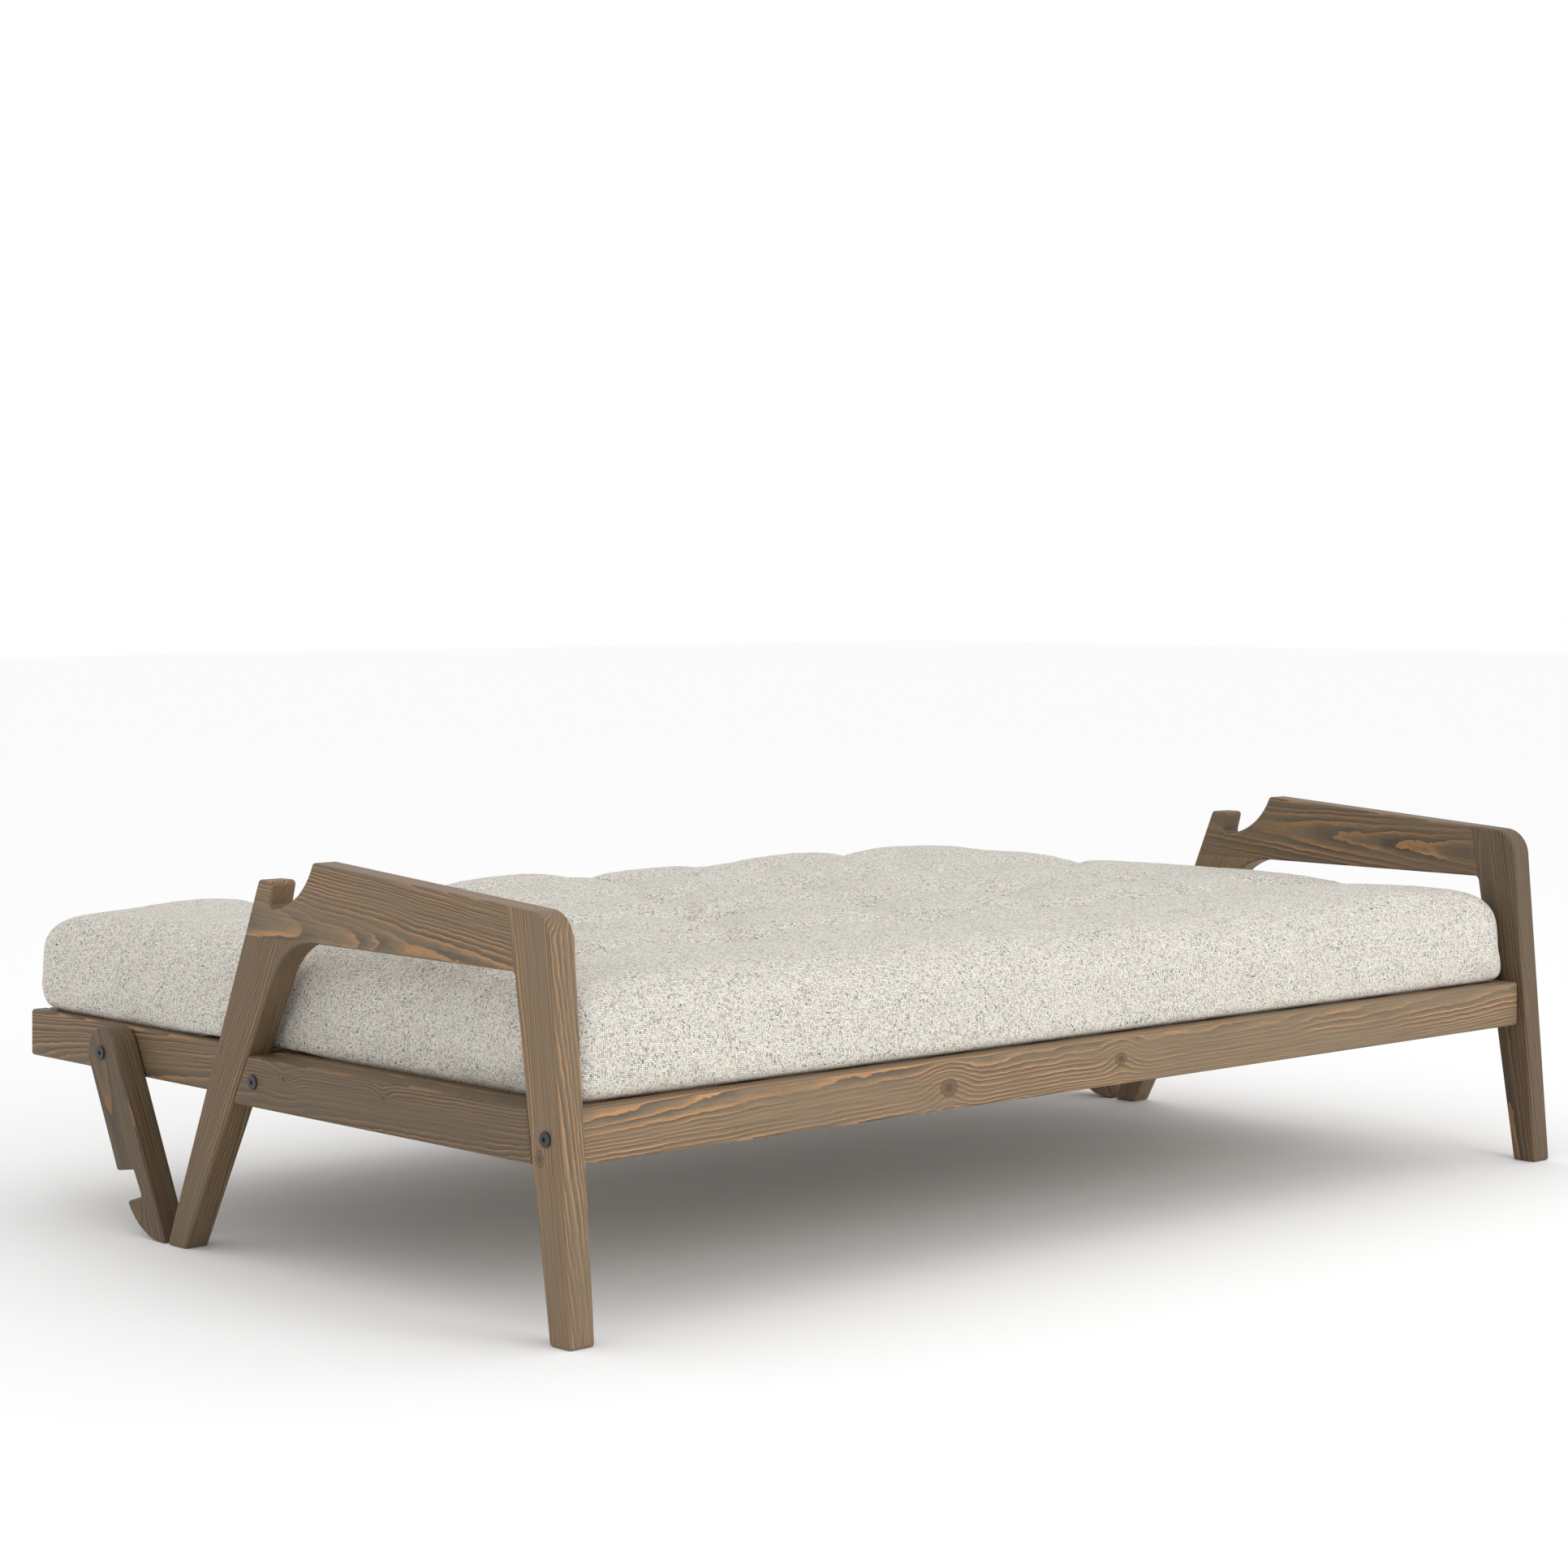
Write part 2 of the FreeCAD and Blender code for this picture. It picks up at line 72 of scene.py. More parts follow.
def add_camera():
    """Level camera near the front left, with the view shifted down."""
    camera = bpy.data.cameras.new("camera")
    camera.sensor_width = CAMERA_SENSOR
    camera.lens = CAMERA_LENS
    camera.shift_y = -CAMERA_SHIFT_DOWN
    camera.clip_end = 100.0
    holder = add_object("camera", camera)
    holder.location = CAMERA_PLACE
    holder.rotation_euler = (math.radians(90), 0, math.radians(CAMERA_HEADING))
    bpy.context.scene.camera = holder


def add_floor():
    half = FLOOR_HALF
    corners = [(-half, -half, 0), (half, -half, 0), (half, half, 0), (-half, half, 0)]
    mesh = bpy.data.meshes.new("floor")
    mesh.from_pydata(corners, [], [(0, 1, 2, 3)])
    material = bpy.data.materials.new("floor")
    material.use_nodes = True
    shader = material.node_tree.nodes["Principled BSDF"]
    shader.inputs["Base Color"].default_value = (*FLOOR_COLOR, 1)
    shader.inputs["Roughness"].default_value = FLOOR_ROUGHNESS
    mesh.materials.append(material)
    add_object("floor", mesh)


def add_light():
    """Even white surroundings, and a round softbox in front."""
    world = bpy.data.worlds.new("studio")
    world.use_nodes = True
    background = world.node_tree.nodes["Background"]
    background.inputs["Color"].default_value = (1, 1, 1, 1)
    background.inputs["Strength"].default_value = SKY_STRENGTH
    bpy.context.scene.world = world
    light = bpy.data.lights.new("front_softbox", "AREA")
    light.shape = "DISK"
    light.size = SOFTBOX_SIZE
    light.energy = SOFTBOX_POWER
    softbox = add_object("front_softbox", light)
    softbox.location = SOFTBOX_PLACE
    aim = Vector(SOFTBOX_TARGET) - Vector(SOFTBOX_PLACE)
    softbox.rotation_euler = aim.to_track_quat("-Z", "Y").to_euler()
    bpy.context.scene.view_settings.view_transform = "Standard"


# ---- node helpers ----
class Tree:
    """Short calls for building a material's nodes."""

    def __init__(self, name):
        self.material = bpy.data.materials.new(name)
        self.material.use_nodes = True
        self.nodes = self.material.node_tree.nodes
        self.links = self.material.node_tree.links
        self.shader = self.nodes["Principled BSDF"]

    def feed(self, socket, value):
        if isinstance(value, bpy.types.NodeSocket):
            self.links.new(value, socket)
        elif value is not None:
            socket.default_value = value

    def math(self, operation, a, b=None, c=None):
        node = self.nodes.new("ShaderNodeMath")
        node.operation = operation
        for socket, value in zip(node.inputs, (a, b, c)):
            self.feed(socket, value)
        return node.outputs[0]

    def clamp(self, value, low, high):
        return self.math("MINIMUM", self.math("MAXIMUM", value, low), high)

    def dot(self, vector, direction):
        node = self.nodes.new("ShaderNodeVectorMath")
        node.operation = "DOT_PRODUCT"
        self.feed(node.inputs[0], vector)
        self.feed(node.inputs[1], direction)
        return node.outputs["Value"]

    def combine(self, x, y, z):
        node = self.nodes.new("ShaderNodeCombineXYZ")
        for socket, value in zip(node.inputs, (x, y, z)):
            self.feed(socket, value)
        return node.outputs[0]

    def noise(self, vector, scale, detail=2.0, roughness=0.5):
        node = self.nodes.new("ShaderNodeTexNoise")
        self.feed(node.inputs["Vector"], vector)
        node.inputs["Scale"].default_value = scale
        node.inputs["Detail"].default_value = detail
        node.inputs["Roughness"].default_value = roughness
        return node.outputs["Fac"]

    def ramp(self, factor, stops):
        node = self.nodes.new("ShaderNodeValToRGB")
        elements = node.color_ramp.elements
        while len(elements) < len(stops):
            elements.new(0.5)
        for element, (position, color) in zip(elements, stops):
            element.position = position
            element.color = (*color, 1)
        self.feed(node.inputs["Fac"], factor)
        return node.outputs["Color"]

    def mix(self, factor, a, b, blend="MIX"):
        node = self.nodes.new("ShaderNodeMix")
        node.data_type = "RGBA"
        node.blend_type = blend
        self.feed(node.inputs["Factor"], factor)
        self.feed(node.inputs["A"], (*a, 1) if isinstance(a, tuple) else a)
        self.feed(node.inputs["B"], (*b, 1) if isinstance(b, tuple) else b)
        return node.outputs["Result"]

    def bump(self, height, strength, distance):
        node = self.nodes.new("ShaderNodeBump")
        node.inputs["Strength"].default_value = strength
        node.inputs["Distance"].default_value = distance
        self.feed(node.inputs["Height"], height)
        return node.outputs[0]


def linear(*levels):
    """Colour from screen levels of 10 to 255."""
    return tuple(((level / 255 + 0.055) / 1.055) ** 2.4 for level in levels)


def paint(node_name, material):
    mesh = frame["nodes"][node_name].data
    mesh.materials.clear()
    mesh.materials.append(material)


# ---- stained pine ----
ORANGE = linear(186, 138, 92)
AMBER = linear(158, 122, 84)
DARK = linear(88, 75, 64)
SHADE = linear(108, 93, 76)
TAUPE = linear(126, 109, 86)
RINGS = [  # from one year's dark line to the next
    (0.0, DARK),
    (0.14, DARK),
    (0.34, SHADE),
    (0.58, TAUPE),
    (0.74, AMBER),
    (0.84, ORANGE),
    (0.97, ORANGE),
    (1.0, DARK),
]
RING_SPACING = 0.0036
RING_UNEVENNESS = 1.6  # rings, over about RING_GROUP metres
RING_GROUP = 1 / 70
RING_WANDER = [  # noise scale along and across the board, seed, detail and size in metres
    (1.5, 4.0, 0.0, 1.0, 0.012),
    (9.0, 14.0, 7.0, 1.5, 0.0023),
    (50.0, 110.0, 3.0, 2.0, 0.0009),
]
KNOT_SQUASH = 0.75  # makes knots longer along the board
KNOT_REACH = 2.4  # knot radii over which the rings bend
KNOT_BEND = 0.9
KNOT_EDGE = 8.0
KNOT_COVER = 0.9
KNOT_HEART = [  # from a knot's rim to its middle
    (0.0, linear(70, 54, 42)),
    (0.14, linear(98, 78, 58)),
    (0.4, linear(114, 88, 64)),
    (0.6, linear(94, 72, 54)),
    (1.0, linear(76, 58, 44)),
]
CONTRAST_SCALES = (3.0, 26.0, 5.0)  # along, across, seed
CONTRAST_GAIN = 2.6
CONTRAST_OFFSET = -0.82
CONTRAST_RANGE = (0.2, 0.92)
STREAK_SCALES = (7.0, 480.0)
STREAK_DETAIL = (4.0, 0.7)
STREAK_TONES = [(0.3, 0.72), (0.5, 1.0), (0.7, 1.22)]
STREAK_TINT = (1.0, 0.985, 0.955)
PINE_ROUGHNESS = (0.3, 0.4)  # share of the streaks, and least
STREAK_RELIEF = 0.7
RING_RELIEF = 0.4
PINE_BUMP = (0.35, 0.0005)  # strength, and depth in metres
PINE_SPECULAR = 0.35

LEAN = {  # y gained per unit of height, along the middle of each leg
    "front_leg": 0.115,
    "rear_leg": -0.49,
    "hook_leg": 0.52,
}
ARMREST_RISE = 0.063
KNOTS = {  # place along the board, place across it, radius
    "left_arm_side_rail": [(-0.02, 0.012, 0.007), (0.21, 0.012, 0.009)],
    "seat_front_rail": [(-0.33, -0.004, 0.013), (0.02, 0.002, 0.010)],
    "left_front_leg": [(-0.04, 0.002, 0.009)],
    "right_hook_leg": [(-0.03, 0.0, 0.008)],
    "back_far_rail": [(0.28, 0.01, 0.011), (-0.55, -0.008, 0.009)],
}
RANDOM_PITH_ACROSS = 0.05  # a board that isn't in CUTS draws its own cut from these
RANDOM_PITH_THROUGH = (0.04, 0.08)
RANDOM_TAPER = (0.01, 0.03)
RANDOM_TONE = (0.85, 0.95)
RANDOM_SEED = (0, 40)
CUTS = {  # pith across, pith through, taper, tone; the darker tones are partly painted shade
    "seat_front_rail": (0.034, -0.045, 0.012, 1.0),
    "left_armrest": (-0.045, 0.05, -0.03, 0.88),
    "right_armrest": (0.0, 0.055, 0.03, 0.72),
    "left_front_leg": (0.035, 0.04, 0.02, 0.92),
    "right_front_leg": (0.006, 0.05, 0.03, 0.54),
    "left_rear_leg": (-0.03, -0.05, 0.02, 0.68),
    "left_arm_side_rail": (-0.05, 0.05, 0.02, 0.62),
    "left_back_side_rail": (-0.04, 0.06, 0.02, 0.78),
    "left_hook_leg": (0.02, -0.06, -0.02, 0.52),
}


def pine(name, along, across, centre, cut, knots):
    """Brushed and stained pine: growth rings about a pith line that runs along the board.

    along and across are the board's long and wide directions and centre is its middle. cut gives
    the pith's distance across and through the board, the taper of the rings, a tone that darkens
    the whole board and a seed; on the darker boards that tone is partly painted shade.
    knots are (place along, place across, radius) from the centre, in metres.
    """
    pith_v, pith_w, taper, tone_and_shade, shift = cut
    tree = Tree(name)
    coordinate = tree.nodes.new("ShaderNodeTexCoord").outputs["Object"]
    along = Vector(along).normalized()
    across = Vector(across).normalized()
    through = along.cross(across)
    u, v, w = (
        tree.math("SUBTRACT", tree.dot(coordinate, axis), Vector(centre).dot(axis))
        for axis in (along, across, through)
    )

    def stretched(along_scale, across_scale, seed=0.0):
        """Coordinates for noise that is long along the grain."""
        scales = (along_scale, across_scale, across_scale)
        seeds = (shift + seed, shift, seed)
        terms = zip((u, v, w), scales, seeds)
        return tree.combine(*(tree.math("MULTIPLY_ADD", *term) for term in terms))

    def add_centred(value, noise_value, size):
        """Add noise of plus or minus size."""
        return tree.math("ADD", value, tree.math("MULTIPLY_ADD", noise_value, 2 * size, -size))

    def square_sum(a, b):
        return tree.math("ADD", tree.math("MULTIPLY", a, a), tree.math("MULTIPLY", b, b))

    square = square_sum(tree.math("SUBTRACT", v, pith_v), tree.math("SUBTRACT", w, pith_w))
    radius = tree.math("ADD", tree.math("SQRT", square), tree.math("MULTIPLY", u, taper))
    for along_scale, across_scale, seed, detail, size in RING_WANDER:
        wander = tree.noise(stretched(along_scale, across_scale, seed), 1.0, detail)
        radius = add_centred(radius, wander, size)
    knot_mask = None
    for knot_u, knot_v, knot_radius in knots:
        du = tree.math("MULTIPLY", tree.math("SUBTRACT", u, knot_u), KNOT_SQUASH)
        gap = square_sum(du, tree.math("SUBTRACT", v, knot_v))
        falloff = -1 / (KNOT_REACH * knot_radius) ** 2
        near = tree.math("EXPONENT", tree.math("MULTIPLY", gap, falloff))
        radius = tree.math("ADD", radius, tree.math("MULTIPLY", near, KNOT_BEND * knot_radius))
        spot = tree.math("SUBTRACT", 1.0, tree.math("DIVIDE", tree.math("SQRT", gap), knot_radius))
        knot_mask = spot if knot_mask is None else tree.math("MAXIMUM", knot_mask, spot)

    group_at = tree.combine(tree.math("MULTIPLY_ADD", radius, 1 / RING_GROUP, shift), shift, 0.0)
    rings = tree.math("DIVIDE", radius, RING_SPACING)
    phase = tree.math("FRACT", add_centred(rings, tree.noise(group_at, 1.0), RING_UNEVENNESS))
    contrast = tree.noise(stretched(*CONTRAST_SCALES), 1.0)
    contrast = tree.math("MULTIPLY_ADD", contrast, CONTRAST_GAIN, CONTRAST_OFFSET)
    color = tree.mix(tree.clamp(contrast, *CONTRAST_RANGE), TAUPE, tree.ramp(phase, RINGS))
    streaks = tree.noise(stretched(*STREAK_SCALES), 1.0, *STREAK_DETAIL)
    # The tone darkens the whole board: its own tone, and painted shade on the darker boards.
    tints = [
        (at, tuple(tone_and_shade * level * part for part in STREAK_TINT)) for at, level in STREAK_TONES
    ]
    color = tree.mix(1.0, color, tree.ramp(streaks, tints), "MULTIPLY")
    if knot_mask is not None:
        inside = tree.clamp(tree.math("MULTIPLY", knot_mask, KNOT_EDGE), 0.0, KNOT_COVER)
        color = tree.mix(inside, color, tree.ramp(knot_mask, KNOT_HEART))
    tree.feed(tree.shader.inputs["Base Color"], color)
    roughness = tree.math("MULTIPLY_ADD", streaks, *PINE_ROUGHNESS)
    tree.feed(tree.shader.inputs["Roughness"], roughness)
    streak_height = tree.math("MULTIPLY", streaks, STREAK_RELIEF)
    ring_height = tree.math("MULTIPLY", phase, RING_RELIEF)
    height = tree.math("ADD", streak_height, ring_height)
    tree.feed(tree.shader.inputs["Normal"], tree.bump(height, *PINE_BUMP))
    tree.shader.inputs["Specular IOR Level"].default_value = PINE_SPECULAR
    return tree.material


def board_directions(name):
    """A board's long and wide directions."""
    for kind, lean in LEAN.items():
        if name.endswith(kind):
            return (0, lean, 1), (0, 1, -lean)
    if name.endswith("armrest"):
        return (0, 1, ARMREST_RISE), (0, -ARMREST_RISE, 1)
    if "_slat_" in name:
        return (0, 1, 0), (1, 0, 0)
    if name.endswith("side_rail"):
        return (0, 1, 0), (0, 0, 1)
    return (1, 0, 0), (0, 0, 1)


def paint_wood():
    """Every board gets its own cut of pine, with the grain along it."""
    for part in subparts:
        name = part["node"]
        if part["material_slot"] not in ("stained_pine", "slat_pine"):
            continue
        pith_v = random.uniform(-RANDOM_PITH_ACROSS, RANDOM_PITH_ACROSS)
        pith_w = random.choice((-1, 1)) * random.uniform(*RANDOM_PITH_THROUGH)
        taper = random.choice((-1, 1)) * random.uniform(*RANDOM_TAPER)
        own = (pith_v, pith_w, taper, random.uniform(*RANDOM_TONE))
        cut = (*CUTS.get(name, own), random.uniform(*RANDOM_SEED))
        low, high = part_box(name)
        along, across = board_directions(name)
        knots = KNOTS.get(name, ())
        paint(name, pine("pine_" + name, along, across, (low + high) / 2, cut, knots))


# ---- small materials ----
SMALL_FINISHES = {  # slot: name, dark, light, roughness, metallic, mottling scale
    "black_steel": ("black_oxide", (0.012, 0.012, 0.013), (0.035, 0.035, 0.037), 0.32, 0.0, 900.0),
    "zinc_steel": ("zinc", (0.42, 0.42, 0.44), (0.62, 0.62, 0.63), 0.3, 1.0, 500.0),
    "beech_dowel": ("beech", (0.45, 0.28, 0.15), (0.60, 0.42, 0.25), 0.5, 0.0, 300.0),
}

MOTTLE_DETAIL = (4.0, 0.6)
MOTTLE_STOPS = (0.3, 0.7)  # where the mottling is all dark and all light
MOTTLE_ROUGHNESS = 0.25
MOTTLE_BUMP = (0.15, 0.0001)  # strength, and depth in metres


def speckled(name, dark, light, roughness, metallic, scale):
    """Plain surface with fine mottling in colour, gloss and relief."""
    tree = Tree(name)
    coordinate = tree.nodes.new("ShaderNodeTexCoord").outputs["Object"]
    grain = tree.noise(coordinate, scale, *MOTTLE_DETAIL)
    color = tree.ramp(grain, list(zip(MOTTLE_STOPS, (dark, light))))
    tree.feed(tree.shader.inputs["Base Color"], color)
    roughness = tree.math("MULTIPLY_ADD", grain, MOTTLE_ROUGHNESS, roughness)
    tree.feed(tree.shader.inputs["Roughness"], roughness)
    tree.feed(tree.shader.inputs["Normal"], tree.bump(grain, *MOTTLE_BUMP))
    tree.shader.inputs["Metallic"].default_value = metallic
    return tree.material


def paint_hardware():
    finishes = {slot: speckled(*finish) for slot, finish in SMALL_FINISHES.items()}
    for part in subparts:
        if part["material_slot"] in finishes:
            paint(part["node"], finishes[part["material_slot"]])


# ---- tweed ----
THREAD_PITCH = 0.0027
WEAVE_DRIFT = 55.0  # noise scales of the threads' sway and of their lumps
WEAVE_SLUB = 420.0
SLUB_SHARE = 0.9
WARP_RUN = 0.34  # how fast the yarn's colour changes along a thread
WEFT_RUN = 0.42
YARN_DETAIL = (1.5, 0.8)
WARP_SEED = (7.31, 3.0)
WEFT_SEED = (5.77, 9.0)
FLECK_GAIN = 1.16
PATCH_SCALES = (0.035, 0.10)
PATCH_SEED = 4.0
PATCH_SHARE = 0.12
GAP_POWER = 3.0
GAP_ENDS = 0.35
FIBRE_SCALE = 2600.0
FIBRE_SHARE = 0.45
CROSSING_RELIEF = 0.4
TWEED_BUMP = (0.6, 0.0008)  # strength, and depth in metres
TWEED_FINISH = {
    "Roughness": 0.95,
    "Specular IOR Level": 0.15,
    "Sheen Weight": 0.1,
    "Sheen Roughness": 0.5,
}
YARN = [
    (0.0, linear(60, 64, 68)),
    (0.22, linear(92, 98, 102)),
    (0.30, linear(164, 167, 166)),
    (0.39, linear(222, 219, 210)),
    (0.5, linear(244, 240, 230)),
    (0.62, linear(234, 227, 215)),
    (0.70, linear(214, 189, 162)),
    (0.75, linear(204, 166, 134)),
    (0.80, linear(172, 170, 164)),
    (1.0, linear(100, 102, 102)),
]
LUSTRE = [  # how bright each crossing's thread is
    (0.0, (0.66, 0.65, 0.64)),
    (0.3, (0.92, 0.92, 0.92)),
    (1.0, (1.08, 1.08, 1.08)),
]
GAP_SHADE = [  # painted highlight on the top of a thread, down to painted shade in the gap beside it
    (0.1, (1.04, 1.04, 1.04)),
    (1.0, (0.34, 0.34, 0.33)),
]


def tweed():
    """Plain weave of slubby off-white yarn with grey, blue and tan flecks."""
    tree = Tree("tweed")
    uv = tree.nodes.new("ShaderNodeUVMap")
    uv.uv_map = "weave"
    place = uv.outputs[0]
    split = tree.nodes.new("ShaderNodeSeparateXYZ")
    tree.feed(split.inputs[0], place)
    slub = tree.math("MULTIPLY", tree.noise(place, WEAVE_SLUB, 1.0), SLUB_SHARE)
    sway = tree.math("ADD", tree.noise(place, WEAVE_DRIFT), slub)
    u = tree.math("MULTIPLY_ADD", split.outputs[0], 1 / THREAD_PITCH, sway)
    sway_back = tree.math("MULTIPLY", sway, -1.0)
    v = tree.math("MULTIPLY_ADD", split.outputs[1], 1 / THREAD_PITCH, sway_back)
    column = tree.math("FLOOR", u)
    row = tree.math("FLOOR", v)
    over = tree.math("MODULO", tree.math("ABSOLUTE", tree.math("ADD", column, row)), 2.0)

    def yarn_noise(x, x_scale, y, y_scale, seed):
        x = tree.math("MULTIPLY", x, x_scale)
        y = tree.math("MULTIPLY", y, y_scale)
        return tree.noise(tree.combine(x, y, seed), 1.0, *YARN_DETAIL)

    def off_middle(value):
        """How far to the side of its thread a place is, from 0 to 1."""
        from_middle = tree.math("MULTIPLY_ADD", tree.math("FRACT", value), 2.0, -1.0)
        return tree.math("ABSOLUTE", from_middle)

    warp = yarn_noise(column, WARP_SEED[0], v, WARP_RUN, WARP_SEED[1])
    weft = yarn_noise(u, WEFT_RUN, row, WEFT_SEED[0], WEFT_SEED[1])
    fleck = tree.mix(over, warp, weft)
    fleck = tree.math("MULTIPLY_ADD", fleck, FLECK_GAIN, (1 - FLECK_GAIN) / 2)
    patch_at = (tree.math("MULTIPLY", x, scale) for x, scale in zip((u, v), PATCH_SCALES))
    patch = tree.noise(tree.combine(*patch_at, PATCH_SEED), 1.0, 3.0)
    patch = tree.math("MULTIPLY_ADD", patch, 2 * PATCH_SHARE, -PATCH_SHARE)
    yarn = tree.ramp(tree.math("ADD", fleck, patch), YARN)
    cell = tree.nodes.new("ShaderNodeTexWhiteNoise")
    tree.feed(cell.inputs["Vector"], tree.combine(column, row, 0.0))
    color = tree.mix(1.0, yarn, tree.ramp(cell.outputs["Value"], LUSTRE), "MULTIPLY")

    off_u = off_middle(u)
    off_v = off_middle(v)
    sideways = tree.math("POWER", tree.mix(over, off_u, off_v), GAP_POWER)
    ends = tree.math("POWER", tree.mix(over, off_v, off_u), GAP_POWER)
    gap = tree.math("ADD", sideways, tree.math("MULTIPLY", ends, GAP_ENDS))
    fibres = tree.noise(place, FIBRE_SCALE, 1.0)
    fibres = tree.math("MULTIPLY_ADD", fibres, 2 * FIBRE_SHARE, -FIBRE_SHARE)
    gap = tree.math("ADD", gap, fibres)
    # Painted shade in the gaps between threads, and a slight painted highlight on their tops.
    color = tree.mix(1.0, color, tree.ramp(gap, GAP_SHADE), "MULTIPLY")
    tree.feed(tree.shader.inputs["Base Color"], color)
    for socket, value in TWEED_FINISH.items():
        tree.shader.inputs[socket].default_value = value
    crossing = tree.math("MULTIPLY", cell.outputs["Value"], CROSSING_RELIEF)
    height = tree.math("SUBTRACT", crossing, gap)
    tree.feed(tree.shader.inputs["Normal"], tree.bump(height, *TWEED_BUMP))
    return tree.material


# ---- mattress ----
GRID = 0.013
START_INSET = np.array((0.002, 0.006, 0.0))
TOP_SPARE = 0.010  # left for the padding to swell into
EDGE_REACH = 0.052  # how far in from the sides the edges are rounded
TOP_DROP = 0.066
BOTTOM_RISE = 0.055
TOP_POWER = 2.6  # 2 is a round edge, and more is squarer
BOTTOM_POWER = 5.0
END_DROOP = 0.012  # how much thinner the padding is at its edges
DROOP_REACH = 0.26
WAVES = 0.008  # slow unevenness of the padding
WAVE_SCALE = 5.5
ROUGHNESS = 0.0003

TUFT_ROWS = (-0.335, -0.045, 0.245, 0.525)
TUFT_STEP = 0.312
TUFT_FIRST = (-0.75, -0.584)
TUFT_MARGIN = 0.1
TUFT_STRAY = 0.012
TUFT_DEPTH = 0.024
TUFT_SPREAD = 0.046
TUFT_PIN = 0.012
VALLEY_REACH = 0.37  # tufts nearer to each other than this have a shallow valley between them
VALLEY_DEPTH = 0.008
VALLEY_WIDTH = 0.030
CREASES_PER_TUFT = 5
CREASE_TURN = 0.3  # share of the angle from one crease to the next
CREASE_REACH = (0.05, 0.15)
CREASE_DEPTH = (0.003, 0.008)
CREASE_WIDTH = (0.007, 0.012)
SIDE_CREASES = 26
SIDE_CREASE_BELOW = (0.03, 0.09)  # how far under the top edge it starts
SIDE_CREASE_SWAY = 0.012
SIDE_CREASE_RUN = (-0.07, -0.03)
SIDE_CREASE_DEPTH = (0.0015, 0.0035)
SIDE_CREASE_WIDTH = (0.006, 0.010)
UPPER_RAMP = 0.04  # heights over which the top's folds fade in
FACE_DEPTH = 0.03  # how far in from a side its folds reach
FACE_RAMP = 0.015

CLOTH = {
    "quality": 5,
    "mass": 0.4,
    "tension_stiffness": 20,
    "compression_stiffness": 20,
    "shear_stiffness": 8,
    "bending_stiffness": 0.3,
    "shrink_min": -0.03,
    "use_pressure": True,
    "uniform_pressure_force": 4.0,
    "vertex_group_mass": "pin",
}
STEPS = 20
PUFF_LIMIT = 0.016
ARM_CLEARANCE = 0.0015  # the mattress is pressed flat against the arms
HOOK_PRESS = 0.006  # and a little into the hook legs' way behind them
BEHIND_ARMS = 0.21
BEHIND_HOOKS = 0.47
CORNER_SWELL = 0.009  # the free rear corners bulge
CORNER_SWELL_X = 0.85
CORNER_SWELL_RAMP = 0.1
CORNER_SWELL_HEIGHT = 0.35  # share of the thickness over which the bulge fades in
CORNER_PRESS = 0.018  # the most that they may stand past the arms' inner faces
CORNER_PRESS_RAMP = 0.08
SAG = 0.008
SAG_FROM = 0.027  # behind the mattress's front and back, where the rails' inner faces are
SAG_RAMP = 0.03
SAG_HEIGHT = 0.09
SKIRT_FROM = 0.012
SKIRT = 0.03  # the lowest edge of the sides, which neither sags nor lifts
FOLD_REACH = 0.2
FOLD_RELIEF = 0.030

hinge = Vector(next(joint["pos_m"] for joint in frame["joints"] if joint["name"] == "back_fold"))


def smooth_step(x):
    x = np.clip(x, 0, 1)
    return x * x * (3 - 2 * x)


def tuft_places(high_x):
    """Staggered rows of tufts, none of them quite in line."""
    places = []
    for row, y in enumerate(TUFT_ROWS):
        x = TUFT_FIRST[row % 2]
        while x < high_x - TUFT_MARGIN:
            places.append([at + random.uniform(-TUFT_STRAY, TUFT_STRAY) for at in (x, y)])
            x += TUFT_STEP
    return np.array(places)


def box_grid(low, high):
    """Closed grid of quads on a box: its points as whole steps along each axis, and its faces."""
    counts = [max(2, round((high[i] - low[i]) / GRID)) for i in range(3)]
    index = {}
    faces = []
    for axis in range(3):
        a, b = (axis + 1) % 3, (axis + 2) % 3
        for side in (0, counts[axis]):
            for i in range(counts[a]):
                for j in range(counts[b]):
                    ring = []
                    for da, db in ((0, 0), (1, 0), (1, 1), (0, 1)):
                        cell = [0, 0, 0]
                        cell[axis] = side
                        cell[a] = i + da
                        cell[b] = j + db
                        ring.append(index.setdefault(tuple(cell), len(index)))
                    faces.append((ring if side else ring[::-1], axis, side > 0))
    return np.array(list(index)), counts, faces


def rounded(points, low, high):
    """Bend the box's edges over: wide round ones at the top, tight ones at the bottom."""
    reach_low = np.array((EDGE_REACH, EDGE_REACH, BOTTOM_RISE))
    reach_high = np.array((EDGE_REACH, EDGE_REACH, TOP_DROP))
    core = np.clip(points, low + reach_low, high - reach_high)
    out = points - core
    out = np.where(out < 0, out / reach_low, out / reach_high)
    below = np.clip(-out[:, 2:], 0, 1)
    power = TOP_POWER + (BOTTOM_POWER - TOP_POWER) * below
    size = (np.abs(out) ** power).sum(1, keepdims=True) ** (1 / power)
    out = out / np.maximum(size, 1e-9)
    return core + np.where(out < 0, out * reach_low, out * reach_high)


def arc_lengths(cells, points, counts):
    """Distance along the surface on each axis's grid lines, taken on the middle of a face."""
    place = {tuple(cell): point for cell, point in zip(cells.tolist(), points)}
    tables = []
    for axis, flat, mid in ((0, 2, 1), (1, 2, 0), (2, 1, 0)):
        line = []
        for step in range(counts[axis] + 1):
            cell = [0, 0, 0]
            cell[axis] = step
            cell[flat] = counts[flat] if flat == 2 else 0
            cell[mid] = counts[mid] // 2
            line.append(place[tuple(cell)])
        steps = np.linalg.norm(np.diff(np.array(line), axis=0), axis=1)
        tables.append(np.concatenate([[0], np.cumsum(steps)]))
    return tables


